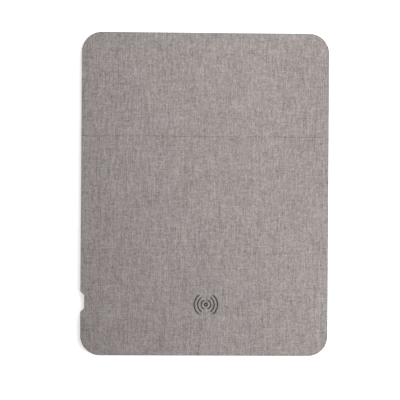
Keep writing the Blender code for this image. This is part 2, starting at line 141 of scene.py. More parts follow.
class Finish:
    """A material, and the ways to add nodes to it."""

    def __init__(self, name, roughness=0.5, metallic=0.0):
        self.name = name
        self.material = bpy.data.materials.new(name)
        self.material.use_nodes = True
        self.tree = self.material.node_tree
        self.shader = self.tree.nodes["Principled BSDF"]
        self.set(Roughness=roughness, Metallic=metallic)

    def plug(self, socket, value):
        if isinstance(value, Value):
            self.tree.links.new(value.socket, socket)
        else:
            socket.default_value = value

    def add(self, kind, settings=None, inputs=None, output=0):
        node = self.tree.nodes.new(kind)
        for key, value in (settings or {}).items():
            setattr(node, key, value)
        for key, value in (inputs or {}).items():
            self.plug(node.inputs[key], value)
        return Value(self, node.outputs[output])

    def maths(self, operation, *operands):
        return self.add("ShaderNodeMath", {"operation": operation}, dict(enumerate(operands)))

    def set(self, **sockets):
        """Set the shader's sockets: Base_Color stands for Base Color."""
        for key, value in sockets.items():
            self.plug(self.shader.inputs[key.replace("_", " ")], value)

    def object_place(self):
        return self.add("ShaderNodeTexCoord", output="Object")

    def scaled(self, vector, scale):
        settings = {"operation": "MULTIPLY"}
        return self.add("ShaderNodeVectorMath", settings, {0: vector, 1: scale})

    def split(self, vector):
        node = self.add("ShaderNodeSeparateXYZ", None, {0: vector}).socket.node
        return [Value(self, socket) for socket in node.outputs]

    def join(self, x, y, z=0.0):
        return self.add("ShaderNodeCombineXYZ", None, {0: x, 1: y, 2: z})

    def noise(self, vector, scale=1.0, detail=2.0, roughness=0.5):
        inputs = {"Vector": vector, "Scale": scale, "Detail": detail, "Roughness": roughness}
        return self.add("ShaderNodeTexNoise", None, inputs)

    def steps(self, value, low, high, out_low=0.0, out_high=1.0):
        """Value stretched from low..high to out_low..out_high, with soft ends."""
        settings = {"interpolation_type": "SMOOTHSTEP"}
        inputs = {0: value, 1: low, 2: high, 3: out_low, 4: out_high}
        return self.add("ShaderNodeMapRange", settings, inputs)

    def blend_colours(self, factor, first, second):
        settings = {"data_type": "RGBA"}
        return self.add("ShaderNodeMix", settings, {0: factor, 6: first, 7: second}, output=2)

    def bump(self, height, distance, strength=1.0):
        inputs = {"Height": height, "Distance": distance, "Strength": strength}
        self.set(Normal=self.add("ShaderNodeBump", None, inputs))


def colour(red, green, blue):
    return (red, green, blue, 1.0)


# %% [markdown]
# ## The linen-look fabric
#
# The skin is woven polyester with a linen look: a plain weave whose yarns change thickness and shade
# along their length. From an arm's length no single thread can be made out, only pale and dark dashes
# in both directions, a little longer along the pad than across it. An image of cloth could be wrapped
# round the pad, but it would repeat. This finish works out each yarn instead: two sets of waving
# cylinders, and whichever is higher is the one that shows. It is drawn on the cloth's own UV map, in
# metres along the unrolled cloth, so it goes round the edges and bends with the fold lines.

# %% Weave
CLOTH_MAP = "cloth"
YARN_PITCH = 0.62 * MM
YARN_THIN, YARN_SPREAD = 0.65, 0.60        # the thinnest yarn, and how much wider one gets, in half pitches
WARP_CHANGE, WEFT_CHANGE = 6 * MM, 4 * MM  # the length over which a yarn's width changes
WAVE = 0.6                                 # how far a yarn rises and falls, against its thickness
WANDER, WANDER_SCALE = 0.5, 60             # how far the yarns stray, in pitches, and how often in a metre
APART = 7.31                               # step in the noise from one yarn to the next, so that they differ


def yarn_height(across, along, width, up):
    """Height of a yarn: round across it, and waving up and down along it. Both places run from -1 to 1."""
    share = across / width
    inside = 1.0 - share * share
    wave = (along * (pi / 2)).maths("COSINE")
    return inside.maths("MAXIMUM", 0.0).maths("SQRT") + WAVE * up * wave


def weave(finish, place):
    """A plain weave: the yarns' numbers, the cloth's height from 0 to 1, and 1 where a warp yarn shows."""
    x, y, _ = finish.split(place)
    wander = WANDER * finish.noise(finish.scaled(place, [WANDER_SCALE] * 3), detail=1.0)
    across, along = x / YARN_PITCH + wander, y / YARN_PITCH - wander
    column, row = across.maths("FLOOR"), along.maths("FLOOR")
    side = 2.0 * (column + row).maths("FLOORED_MODULO", 2.0) - 1.0
    in_column, in_row = (across - column) * 2.0 - 1.0, (along - row) * 2.0 - 1.0
    warp_noise = finish.noise(finish.join(column * APART, y / WARP_CHANGE, 2.0), detail=0.0)
    weft_noise = finish.noise(finish.join(x / WEFT_CHANGE, row * APART, 8.0), detail=0.0)
    warp = yarn_height(in_column, in_row, YARN_THIN + YARN_SPREAD * warp_noise, side)
    weft = yarn_height(in_row, in_column, YARN_THIN + YARN_SPREAD * weft_noise, -1.0 * side)
    height = warp.maths("MAXIMUM", weft) / (1.0 + WAVE)
    return column, row, height, warp > weft


print("yarns across the pad:", round((right - left) / YARN_PITCH))

# %% [markdown]
# Linen looks the way it does because its yarns are uneven, and so each yarn here has a shade of its own
# that drifts along it. A long tone gives streaks, and a short one gives the dashes. The yarn on top
# counts most, and a little of the one below shows between. Over both lie fine hairs, which break up the
# even surface when it is seen from close by.

# %% Shades of the yarns
# Each tone of a yarn: its weight, the length over which it changes, and its place in the noise
WARP_TONES = [(0.54, 15.0 * MM, 3.7), (0.66, 3.0 * MM, 5.4)]
WEFT_TONES = [(0.32, 13.0 * MM, 9.2), (0.60, 2.2 * MM, 1.3)]
WARP_LEAD = 0.38                           # how much more the yarn on top counts than the one below
FIBRE_THICK, FIBRE_LONG = 0.05 * MM, 0.6 * MM


def yarn_shade(finish, yarn, travelled, tones):
    """Shade that changes along a yarn and differs from the next yarn's. Mean 0."""
    total = 0.0
    for weight, length, seed in tones:
        tone = finish.noise(finish.join(yarn * APART, travelled / length, seed), detail=1.0) - 0.5
        total = weight * tone + total
    return total


def linen_shade(finish, x, y, column, row, warp_shows):
    """Shade of the yarn on top, with a little of the one below it showing through. Mean 0."""
    warp = yarn_shade(finish, column, y, WARP_TONES)
    weft = yarn_shade(finish, row, x, WEFT_TONES)
    warp_share = 0.5 + WARP_LEAD * (2.0 * warp_shows - 1.0)
    return 2.0 * (warp_share * warp + (1.0 - warp_share) * weft)


def fibres(finish, x, y, warp_shows):
    """Fine hairs that run along whichever yarn is on top."""
    on_warp = finish.noise(finish.join(x / FIBRE_THICK, y / FIBRE_LONG), detail=1.0)
    on_weft = finish.noise(finish.join(x / FIBRE_LONG, y / FIBRE_THICK, 5.0), detail=1.0)
    return warp_shows * on_warp + (1.0 - warp_shows) * on_weft


print("tones of a yarn change in mm:", [round(tone[1] / MM, 1) for tone in WARP_TONES + WEFT_TONES])

# %% [markdown]
# Two bands are painted into the colour. Along the fold lines the cloth is darkened: this is painted shade,
# standing in for the shade in the shallow grooves there. Along the edge the cloth is a little greyer and
# darker. Both are worked out from the distance to a line, so they stay in place whatever the weave does.

# %% Creases and rim
RIM_WIDTH = 4.5 * MM
SECOND_LINE = far_fold - 3.0 * MM
# Each crease's painted shade: its line, its half width, how much darker it is, and where it starts to show from
# the left
CREASE_SHADES = [(far_fold, 0.9 * MM, 0.11, left), (SECOND_LINE, 0.8 * MM, 0.06, 0.0),
           (charging_fold, 1.0 * MM, 0.05, left), (spine_fold, 0.8 * MM, 0.03, left)]
CREASE_FADE = 15 * MM


def painted_crease_shade(finish, x, y):
    """How much painted shade darkens the cloth at each crease, standing in for the shade in its groove."""
    total = 0.0
    for line, half_width, depth, start in CREASE_SHADES:
        shown = finish.steps(x, start - CREASE_FADE, start + CREASE_FADE)
        total = finish.steps(abs(y - line), half_width, 0.0, 0.0, depth) * shown + total
    return total


def rim_share(finish, x, y):
    """1 along the edge, where the cloth is pulled round the board, down to 0 further in."""
    across = finish.steps(abs(x), right - RIM_WIDTH, right)
    along = finish.steps(abs(y), far - RIM_WIDTH, far)
    return across.maths("MAXIMUM", along)


def greyed(finish, cloth):
    """The same cloth, a little greyer and darker."""
    inputs = {"Saturation": 0.55, "Value": 0.96, "Color": cloth}
    return finish.add("ShaderNodeHueSaturation", None, inputs)


print("creases at mm:", [round(crease[0] / MM, 1) for crease in CREASE_SHADES])

# %% [markdown]
# The material puts these together. The shade of the yarns, their height and their hairs become one
# number that picks a colour between the darkest and the palest yarn. The height makes the gaps between
# the yarns darker and their crowns paler, which is painted shade and painted highlight; the same height
# feeds the bump, so the painted shade agrees with the light. Woven polyester is rough and has a faint
# sheen, which is the same all over and is set on the shader itself.

# %% Fabric material
MEAN_HEIGHT = 0.77


def linen(name, dark, light):
    finish = Finish(name, roughness=0.9)
    place = finish.add("ShaderNodeUVMap", {"uv_map": CLOTH_MAP})
    column, row, height, warp_shows = weave(finish, place)
    x, y, _ = finish.split(place)
    fibre = fibres(finish, x, y, warp_shows)
    cloudy = finish.noise(finish.scaled(place, (30, 30, 30)), detail=2.0)
    yarns = linen_shade(finish, x, y, column, row, warp_shows)
    # The creases' painted shade is taken off the yarns' tone here.
    shade = 0.5 + 0.98 * yarns - painted_crease_shade(finish, x, y)
    # The yarns' height paints shade into the gaps between them and a highlight on their crowns.
    mix = shade + 0.40 * (height - MEAN_HEIGHT) + 0.25 * (fibre - 0.5) + 0.12 * (cloudy - 0.5)
    cloth = finish.blend_colours(mix, dark, light)
    finish.set(Base_Color=finish.blend_colours(rim_share(finish, x, y), cloth, greyed(finish, cloth)))
    finish.set(Roughness=0.96 - 0.10 * height)
    finish.set(Sheen_Weight=0.12, Sheen_Roughness=0.55, Specular_IOR_Level=0.25)
    finish.bump(height + 0.10 * fibre, 0.14 * MM, 0.8)
    return finish


fabric = linen("linen_fabric", colour(0.110, 0.093, 0.087), colour(0.570, 0.512, 0.494))
print("fabric:", len(fabric.tree.nodes), "nodes")

# %% [markdown]
# ## Light, floor and camera
#
# The pad is seen from almost straight above, turned by a third of a degree, with two soft lamps near
# its right side. The camera is far away behind a long lens, so that the near and far ends have almost
# the same size. The floor glows a little, which keeps it white without washing out the pad.

# %% Stage
CAMERA_DISTANCE = 1.9
CAMERA_LEAN = radians(2.3)
CAMERA_ROLL = radians(0.38)
FRAME_WIDTH = 371.4 * MM
FLOOR_SIZE, FLOOR_GAP = 3.0, 0.05 * MM
WORLD_STRENGTH = 0.17
AIM = Vector((-4.6 * MM, -5.4 * MM, top))


def add_world():
    world = bpy.data.worlds.new("studio")
    world.use_nodes = True
    background = world.node_tree.nodes["Background"]
    background.inputs["Color"].default_value = colour(1.0, 1.0, 1.0)
    background.inputs["Strength"].default_value = WORLD_STRENGTH
    bpy.context.scene.world = world


def add_floor():
    """A pale floor, a hair below the pad, so that it doesn't cut into the backing."""
    bm = bmesh.new()
    below = Matrix.Translation((0, 0, -FLOOR_GAP))
    bmesh.ops.create_grid(bm, x_segments=1, y_segments=1, size=FLOOR_SIZE, matrix=below)
    mesh = bpy.data.meshes.new("floor")
    bm.to_mesh(mesh)
    bm.free()
    floor = bpy.data.objects.new("floor", mesh)
    bpy.context.scene.collection.objects.link(floor)
    paint = Finish("floor_paint", roughness=0.9)
    paint.set(Base_Color=colour(0.90, 0.90, 0.90))
    paint.set(Emission_Color=colour(1.0, 1.0, 1.0), Emission_Strength=0.6)
    mesh.materials.append(paint.material)


def add_camera():
    data = bpy.data.cameras.new("camera")
    data.lens = data.sensor_width * CAMERA_DISTANCE / FRAME_WIDTH
    camera = bpy.data.objects.new("camera", data)
    turn = Matrix.Rotation(-CAMERA_LEAN, 4, "Y") @ Matrix.Rotation(CAMERA_ROLL, 4, "Z")
    camera.matrix_world = Matrix.Translation(AIM) @ turn @ Matrix.Translation((0, 0, CAMERA_DISTANCE))
    bpy.context.scene.collection.objects.link(camera)
    bpy.context.scene.camera = camera
    print("lens in mm:", round(data.lens, 1))


def add_light(name, place, size, power):
    """A soft square lamp that looks at the middle of the pad."""
    lamp = bpy.data.lights.new(name, "AREA")
    lamp.size = size
    lamp.energy = power
    obj = bpy.data.objects.new(name, lamp)
    obj.location = place
    obj.rotation_euler = (-Vector(place)).to_track_quat("-Z", "Y").to_euler()
    bpy.context.scene.collection.objects.link(obj)


bpy.context.scene.view_settings.view_transform = "Standard"
add_world()
add_floor()
add_camera()
add_light("near_lamp", (0.20, -0.20, 0.36), size=0.25, power=1.20)
add_light("far_lamp", (0.06, 0.25, 0.34), size=0.25, power=1.10)

# %% [markdown]
# ## The fabric skin
#
# On the bench the skin is one sheet, glued over the boards and turned in underneath. Here it is made
# from copies of the solid covers: their fold ends are opened and welded, so the cloth runs on across
# each fold line. It is then cut in the middle of the middle panel and of the spine, because a piece can
# bend across one joint only. The cut edges meet where nothing bends, so they don't show.

# %% Weld the covers into one sheet
WELD = 0.01 * MM
FLAT_ENOUGH = radians(0.5)
FOLD_REACH = 0.4 * MM


def open_edges(bm):
    return [e for e in bm.edges if not e.is_manifold]


def near_fold(y):
    return [fold for fold in folds.values() if abs(y - fold) < FOLD_REACH]


def weld_covers(nodes):
    bm = bmesh.new()
    for node in nodes:
        bm.from_mesh(frame["nodes"][node].data)
    bmesh.ops.remove_doubles(bm, verts=bm.verts, dist=WELD)
    ends = [f for f in bm.faces if all(near_fold(v.co.y) for v in f.verts) and abs(f.normal.y) > 0.9]
    bmesh.ops.delete(bm, geom=ends, context="FACES")
    for vert in bm.verts:
        for fold in near_fold(vert.co.y):
            vert.co.y = fold
    bmesh.ops.remove_doubles(bm, verts=bm.verts, dist=WELD)
    bmesh.ops.dissolve_limit(bm, angle_limit=FLAT_ENOUGH, verts=bm.verts, edges=bm.edges)
    return bm


covers = weld_covers(["fabric_cover_" + part for part in ("far", "middle", "spine", "charging")])
print("welded skin:", len(covers.faces), "faces,", len(open_edges(covers)), "open edges")

# %% [markdown]
# A sharp rim gives cloth away as a solid. The rims of the top and of the underside are rounded by a
# bevel, which is possible because the welded skin has clean long edges there.

# %% Round the rims
TOP_RIM = 1.1 * MM
LOW_RIM = 0.45 * MM
skin_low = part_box("fabric_cover_far")[0].z


def bevel(bm, edges, width, segments):
    bmesh.ops.bevel(bm, geom=edges, offset=width, offset_type="OFFSET", affect="EDGES",
                    segments=segments, profile=0.5, material=-1, clamp_overlap=True)


def is_rim(edge, level):
    if any(abs(v.co.z - level) > WELD for v in edge.verts) or len(edge.link_faces) != 2:
        return False
    return edge.calc_face_angle(0.0) > radians(60) and edge.calc_face_angle_signed(0.0) > 0


def on_outline(edge):
    """True on the pad's outer edge: one of the two faces is upright and looks away from the middle."""
    return any(abs(f.normal.z) < 0.1 and f.normal.to_2d().dot(f.calc_center_median().to_2d()) > 0
               for f in edge.link_faces)


for level, width, segments in ((top, TOP_RIM, 5), (skin_low, LOW_RIM, 3)):
    outer = [e for e in covers.edges if is_rim(e, level) and on_outline(e)]
    bevel(covers, outer, width, segments)
print("rounded skin:", len(covers.faces), "faces,", len(open_edges(covers)), "open edges")

# %% [markdown]
# Cloth bends only where its mesh has rows to bend at. Cutting the skin with a grid of planes gives even
# squares on the flat parts, and rows a quarter of a millimetre apart along the folds, where it has to
# roll through a half turn.

# %% Cut the skin into small squares
SQUARE = 2.6 * MM
FINE_ROW = 0.25 * MM
FINE_REACH = 3.0 * MM
ON_PLANE = 0.002 * MM


def everything(bm):
    return bm.verts[:] + bm.edges[:] + bm.faces[:]


def cut_at(bm, axis, place):
    normal = Vector((0, 0, 0))
    normal[axis] = 1.0
    bmesh.ops.bisect_plane(bm, geom=everything(bm), dist=ON_PLANE, plane_co=normal * place,
                           plane_no=normal)


def spaced(start, end, step):
    count = max(1, round((end - start) / step))
    return [start + (end - start) * i / count for i in range(1, count)]


def row_places():
    """Where rows go along Y: wide on the panels, narrow at the folds."""
    places, y = [], near
    stops = [charging_fold - FINE_REACH, spine_fold + FINE_REACH,
             far_fold - FINE_REACH, far_fold + FINE_REACH, far]
    for number, stop in enumerate(stops):
        places += spaced(y, stop, FINE_ROW if number % 2 else SQUARE) + [stop]
        y = stop
    return places[:-1]


for x in spaced(left, right, SQUARE):
    cut_at(covers, 0, x)
for y in row_places():
    cut_at(covers, 1, y)
print("gridded skin:", len(covers.faces), "faces,", len(open_edges(covers)), "open edges")

# %% [markdown]
# The weave is drawn on a map of the cloth as it lay flat before it was glued. A point on the top keeps
# its own place. A point on the side or underneath goes further out by the distance that the cloth has
# travelled round the edge, so the yarns run over the rim without a jump.

# %% Lay the cloth out flat
CORNER_RADIUS = 18.5 * MM


def flat_place(point, is_low):
    """Where a point of the skin was on the flat cloth."""
    here = point.to_2d()
    core = Vector((max(left + CORNER_RADIUS, min(right - CORNER_RADIUS, here.x)),
                   max(near + CORNER_RADIUS, min(far - CORNER_RADIUS, here.y))))
    away = here - core
    distance = away.length
    if distance < WELD:
        return here
    drop = top - point.z
    travelled = 2 * CORNER_RADIUS - distance + drop if is_low else distance + drop
    return core + away * (travelled / distance)


def lay_out(bm):
    layer = bm.loops.layers.uv.new(CLOTH_MAP)
    half_way = (top + skin_low) / 2
    for face in bm.faces:
        is_low = face.calc_center_median().z < half_way
        for loop in face.loops:
            loop[layer].uv = flat_place(loop.vert.co, is_low)


lay_out(covers)
flat_x = [loop[covers.loops.layers.uv[CLOTH_MAP]].uv.x for face in covers.faces for loop in face.loops]
print("cloth laid flat in mm:", round((max(flat_x) - min(flat_x)) / MM, 1), "wide")

# %% [markdown]
# Glued cloth is never quite flat. It rises and falls by a tenth of a millimetre over a few centimetres,
# and at each fold line it dips where it isn't glued, with a soft lip on either side. The far fold has a
# second, shorter dimple beside it, on the right, where the pad has been folded a little askew.

# %% Let the cloth settle
SWELL = 0.10 * MM
# Each swell: how many in a metre, its place in the noise, and how strong it is
SWELLS = [(22, 4.0, 0.5), (70, 7.0, 0.25)]
GROOVE_WIDTH = 0.55 * MM
GROOVES = [(far_fold, 0.32 * MM), (spine_fold, 0.10 * MM), (charging_fold, 0.16 * MM)]
LIP_SHARE, LIP_PLACE, LIP_WIDTH = 0.16, 2.0 * MM, 0.8 * MM
SECOND_DEPTH, SECOND_WIDTH = 0.10 * MM, 0.6 * MM
SECOND_FADE = 40 * MM


def hump(distance, width):
    """1 at no distance, and falling off smoothly over the width."""
    return exp(-(distance / width) ** 2)


def sag(x, y):
    """How far the top of the cloth lies below the pad's highest level."""
    depth = SWELL * sum(weight + weight * noise.noise(Vector((x * scale, y * scale, seed)))
                        for scale, seed, weight in SWELLS)
    for line, groove in GROOVES:
        depth += groove * hump(y - line, GROOVE_WIDTH)
        depth -= LIP_SHARE * groove * hump(abs(y - line) - LIP_PLACE, LIP_WIDTH)
    share = max(0.0, min(1.0, x / SECOND_FADE + 0.3))
    return depth + SECOND_DEPTH * share * hump(y - SECOND_LINE, SECOND_WIDTH)


for vert in covers.verts:
    if vert.co.z > skin_under + WELD:
        height = (vert.co.z - skin_under) / (top - skin_under)
        vert.co.z -= sag(vert.co.x, vert.co.y) * height
print("top of cloth in mm:", round(max(v.co.z for v in covers.verts) / MM, 3))

# %% [markdown]
# The skin is now parted into its three pieces. Each cut end is closed with a face, so every piece stays
# a solid sheet.

# %% Part the skin
SHARP = radians(50)
TURN_IN = 10.0 * MM
WRAP = TURN_IN + top - skin_low


def split_big_faces(bm):
    bmesh.ops.triangulate(bm, faces=[f for f in bm.faces if len(f.verts) > 4])


def piece_between(bm, low, high):
    """A copy of the skin between two rows, closed at its cut ends."""
    part = bm.copy()
    for place, side in ((low, -1), (high, 1)):
        if place is not None:
            bmesh.ops.bisect_plane(part, geom=everything(part), dist=ON_PLANE,
                                   plane_co=(0, place, 0), plane_no=(0, side, 0), clear_outer=True)
            bmesh.ops.holes_fill(part, edges=open_edges(part), sides=0)
    split_big_faces(part)
    return part


def to_object(name, bm, finish, slot, sharp=SHARP):
    mesh = bpy.data.meshes.new(name)
    bm.normal_update()
    for face in bm.faces:
        face.smooth = True
    for edge in bm.edges:
        edge.smooth = edge.calc_face_angle(0.0) < sharp
    bm.to_mesh(mesh)
    bm.free()
    mesh.materials.append(finish.material)
    obj = bpy.data.objects.new(name, mesh)
    bpy.context.scene.collection.objects.link(obj)
    return obj


def add_skin(name, low, high, fold, reach, nodes):
    part = piece_between(covers, low, high)
    holes = len(open_edges(part))
    obj = to_object(name, part, fabric, "linen_fabric")
    fold - reach
    fold + reach
    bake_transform(obj)
    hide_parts(*nodes)
    length = (far + WRAP if high is None else high) - (near - WRAP if low is None else low)
    print(name, len(obj.data.polygons), "faces,", holes, "open edges,", round(length / MM, 1), "mm flat")


FAR_REACH, SPINE_REACH = 2.4 * MM, 1.4 * MM
add_skin("fabric_skin_far", middle_cut, None, far_fold, FAR_REACH,
         ["fabric_cover_far"])
add_skin("fabric_skin_spine", spine_cut, middle_cut, spine_fold, SPINE_REACH,
         ["fabric_cover_middle"])
add_skin("fabric_skin_charging", None, spine_cut, charging_fold, SPINE_REACH,
         ["fabric_cover_spine", "fabric_cover_charging"])
covers.free()

# %% [markdown]
# ## The charging mark
#
# The mark shows where the phone goes: a small ring with three arcs on either side of it. On the real
# pad it is screen printed. Painting it into the material would need a mask for every arc. Here each
# stroke is the small cut face of a ribbon of ink, swept round the ring's centre by a spin, and then
# laid on the cloth so that it stands a few hundredths of a millimetre proud and follows the swell. The
# strokes get longer and flatter as they go out.

# %% Print the charging mark
ARCS = [(4.4 * MM, radians(62)), (7.7 * MM, radians(55)), (10.9 * MM, radians(51))]
STROKE = 1.25 * MM
RING_RADIUS, RING_HOLE = 1.95 * MM, 0.6 * MM
INK_PROUD, INK_DEEP = 0.03 * MM, -0.10 * MM
UP = Vector((0, 0, 1))
ARC_STEPS, END_STEPS, RING_STEPS = 22, 8, 32


def profile(bm, places, is_closed):
    """The cut face of a stroke through these places, as a loop of edges with or without its first side."""
    corners = [(place, INK_DEEP) for place in places] + [(place, INK_PROUD) for place in reversed(places)]
    verts = [bm.verts.new((place.x, place.y, level)) for place, level in corners]
    pairs = list(zip(verts, verts[1:])) + ([(verts[-1], verts[0])] if is_closed else [])
    return verts + [bm.edges.new(pair) for pair in pairs]


def sweep(bm, geom, centre, angle, steps):
    bmesh.ops.spin(bm, geom=geom, cent=centre, axis=UP, angle=angle, steps=steps,
                   use_merge=abs(angle) >= 2 * pi)


def add_arc(bm, centre, radius, start, angle):
    """Sweep the stroke's cut face round the centre, then half of it round each end to close it."""
    spoke = Matrix.Rotation(start, 3, "Z") @ Vector((1, 0, 0))
    across = [centre + spoke * (radius + STROKE * share) for share in (-0.5, 0.0, 0.5)]
    sweep(bm, profile(bm, across, True), centre, angle, ARC_STEPS)
    for at, side in ((start, -1), (start + angle, 1)):
        out = Matrix.Rotation(at, 3, "Z") @ Vector((1, 0, 0))
        end = centre + out * radius
        sweep(bm, profile(bm, [end, end + out * (STROKE / 2)], False), end, side * pi, END_STEPS)


def lay_on_cloth(bm):
    """Drop the strokes on the cloth, with the cloth's own map, so that the weave shows through the ink."""
    bmesh.ops.remove_doubles(bm, verts=bm.verts, dist=0.004 * MM)
    bmesh.ops.recalc_face_normals(bm, faces=bm.faces)
    layer = bm.loops.layers.uv.new(CLOTH_MAP)
    for vert in bm.verts:
        vert.co.z += top - sag(vert.co.x, vert.co.y)
        for loop in vert.link_loops:
            loop[layer].uv = vert.co.to_2d()


mark = bmesh.new()
centre = Vector((coil_centre.x, coil_centre.y, 0))
out = Vector((1, 0, 0))
ring = profile(mark, [centre + out * RING_HOLE, centre + out * RING_RADIUS], True)
sweep(mark, ring, centre, 2 * pi, RING_STEPS)
for radius, half_angle in ARCS:
    for middle in (0, pi):
        add_arc(mark, centre, radius, middle - half_angle, 2 * half_angle)
lay_on_cloth(mark)
loose = len([e for e in mark.edges if len(e.link_faces) == 1])
ink = linen("printing_ink", colour(0.030, 0.026, 0.025), colour(0.095, 0.084, 0.081))
shown_mark = to_object("charging_mark", mark, ink, "linen_fabric", radians(40))
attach(shown_mark, "charging_panel")
print("mark:", len(shown_mark.data.polygons), "faces,", loose, "open edges,",
      [round(side / MM, 1) for side in shown_mark.dimensions], "mm")

# %% [markdown]
# ## The backing and the layers inside
#
# Everything under the skin starts from its solid in the frame. A real moulded or cut part has no
# knife-sharp edges, so each copy gets a small bevel that catches the light. The copy then takes the
# solid's place and rides its body.

# %% Copy a solid and round its edges
bodies = frame["record"]["behaviour"]["bodies"]
body_of_node = {node: body for body, nodes in bodies.items() for node in nodes}


def copy_node(node):
    """The node's solid as a clean mesh: shared corners, and flat sides without their triangles."""
    bm = bmesh.new()
    bm.from_mesh(frame["nodes"][node].data)
    bmesh.ops.remove_doubles(bm, verts=bm.verts, dist=WELD)
    bmesh.ops.dissolve_limit(bm, angle_limit=FLAT_ENOUGH, verts=bm.verts, edges=bm.edges)
    return bm


def round_edges(bm, width, segments=1, corner=SHARP):
    bevel(bm, [e for e in bm.edges if e.calc_face_angle(0.0) > corner], width, segments)
    split_big_faces(bm)


def install(node, bm, finish, sharp=radians(35)):
    """Show this mesh in the solid's place."""
    obj = to_object("shown_" + node, bm, finish, finish.name, sharp)
    flatter = obj.modifiers.new("flat faces stay flat", "WEIGHTED_NORMAL")
    flatter.keep_sharp = True
    flatter.weight = 100
    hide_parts(node)
    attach(obj, body_of_node[node])
    return obj


def install_rounded(node, finish, width, segments=1):
    copy = copy_node(node)
    round_edges(copy, width, segments)
    return install(node, copy, finish)


# %% [markdown]
# The underside is a thin anti-slip sheet, made here of dark rubber. Its face is pressed with small
# round studs in a staggered grid. They are far too small to model, so they live in the bump of the
# material: the distance from the nearest grid point gives each one a domed height.

# %% Backing
STUD_PITCH = 1.6 * MM
ROW_PITCH = STUD_PITCH * 0.866
STUD_RADIUS, STUD_TOP = 0.55 * MM, 0.25 * MM


def rubber_finish():
    finish = Finish("grip_rubber", roughness=0.75)
    place = finish.object_place()
    x, y, _ = finish.split(place)
    row = (y / ROW_PITCH).maths("ROUND")
    across = x / STUD_PITCH + row.maths("FLOORED_MODULO", 2.0) * 0.5
    dx = (across - across.maths("ROUND")) * STUD_PITCH
    dy = y - row * ROW_PITCH
    distance = (dx * dx + dy * dy).maths("SQRT")
    dome = finish.steps(distance, STUD_RADIUS, STUD_TOP)
    grain = finish.noise(place, scale=900, detail=3.0)
    worn = finish.noise(place, scale=25, detail=3.0)
    dark, light = colour(0.030, 0.030, 0.032), colour(0.062, 0.061, 0.062)
    finish.set(Base_Color=finish.blend_colours(worn * 0.6 + dome * 0.4, dark, light))
    finish.set(Roughness=0.80 - 0.12 * worn - 0.08 * dome)
    finish.bump(dome + 0.15 * grain, 0.12 * MM, 0.9)
    return finish


rubber = rubber_finish()
for node in ("backing_far", "backing_middle", "backing_spine", "backing_charging"):
    shown = install_rounded(node, rubber, 0.25 * MM, segments=2)
    print(shown.name, len(shown.data.polygons), "faces")

# %% [markdown]
# One function makes the finish of every plain stock: board pressed from paper fibre, felt, moulded
# plastic with a fine spark-eroded grain, ferrite, the resin of a chip, and drawn steel. Each has a slow
# change of shade and a quick one, because no stock is one colour all over. The grain is stretched where
# the stock has a direction.

# %% Finishes of plain stock
def flecked(name, dark, light, roughness, grain, size, bump, metallic=0.0, stretch=(1, 1, 1)):
    """A plain stock: shade that varies slowly and quickly, with a grain of this size and height."""
    finish = Finish(name, roughness, metallic)
    place = finish.scaled(finish.object_place(), stretch)
    slow = finish.noise(place, scale=40, detail=3.0)
    quick = finish.noise(place, scale=1 / size, detail=4.0, roughness=0.6)
    finish.set(Base_Color=finish.blend_colours(slow * (1 - grain) + quick * grain, dark, light))
    finish.set(Roughness=roughness + 0.12 * (quick - 0.5))
    finish.bump(quick, bump, 0.7)
    return finish


fibre_board = flecked("fibre_board", colour(0.08, 0.062, 0.046), colour(0.25, 0.21, 0.165), 0.9,
                      grain=0.7, size=1.2 * MM, bump=0.04 * MM, stretch=(0.35, 1, 1))
felt = flecked("levelling_felt", colour(0.17, 0.17, 0.17), colour(0.44, 0.44, 0.44), 0.95,
               grain=0.8, size=0.35 * MM, bump=0.15 * MM)
grey_plastic = flecked("grey_plastic", colour(0.075, 0.075, 0.077), colour(0.125, 0.125, 0.125), 0.5,
                       grain=0.4, size=0.12 * MM, bump=0.01 * MM)
black_plastic = flecked("black_plastic", colour(0.012, 0.012, 0.012), colour(0.03, 0.03, 0.03), 0.4,
                        grain=0.4, size=0.1 * MM, bump=0.006 * MM)
ferrite = flecked("ferrite", colour(0.04, 0.04, 0.043), colour(0.105, 0.105, 0.11), 0.6,
                  grain=0.6, size=0.2 * MM, bump=0.01 * MM)
chip_resin = flecked("chip_resin", colour(0.018, 0.018, 0.018), colour(0.045, 0.045, 0.045), 0.5,
                     grain=0.6, size=0.08 * MM, bump=0.005 * MM)
steel = flecked("socket_steel", colour(0.50, 0.49, 0.47), colour(0.74, 0.73, 0.70), 0.3,
                grain=0.5, size=0.25 * MM, bump=0.002 * MM, metallic=1.0, stretch=(0.1, 1, 1))
print("fibre board:", len(fibre_board.tree.nodes), "nodes")

# %% [markdown]
# The layers inside: a board in each panel and in the spine, and a felt sheet that levels the underside
# within the turned-in cloth. They show only in the gaps at the fold lines underneath.

# %% Inner layers
layers = [(fibre_board, ["core_board_far", "core_board_middle", "core_board_charging", "core_strip_spine"]),
          (felt, ["infill_sheet_far", "infill_sheet_middle", "infill_sheet_charging", "coil_disc"]),
          (grey_plastic, ["module_tray", "module_lid"]), (ferrite, ["ferrite_plate"])]
for finish, nodes in layers:
    for node in nodes:
        install_rounded(node, finish, 0.06 * MM)
    print(finish.name, "on", len(nodes), "layers")

# %% [markdown]
# The spine is too narrow for a turned-in edge, so a strip of felt tape fills the gap between its board
# and its backing.

# %% Spine filler
GLUE_LINE = 0.02 * MM


def add_cube(bm, middle, size):
    bmesh.ops.create_cube(bm, size=1.0, matrix=Matrix.LocRotScale(middle, None, size))


def add_filler():
    """A strip from the spine's backing up to its board, short of the turned-in cloth at both ends."""
    board_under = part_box("core_strip_spine")[0].z
    low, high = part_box("backing_spine")
    half = (right - left) / 2 - TURN_IN - 0.5 * MM
    low, high = Vector((-half, low.y, high.z + GLUE_LINE)), Vector((half, high.y, board_under - GLUE_LINE))
    bm = bmesh.new()
    add_cube(bm, (low + high) / 2, high - low)
    round_edges(bm, 0.06 * MM)
    strip = to_object("spine_filler", bm, felt, felt.name)
    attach(strip, "spine")
    return strip


print("spine filler in mm:", [round(side / MM, 2) for side in add_filler().dimensions])

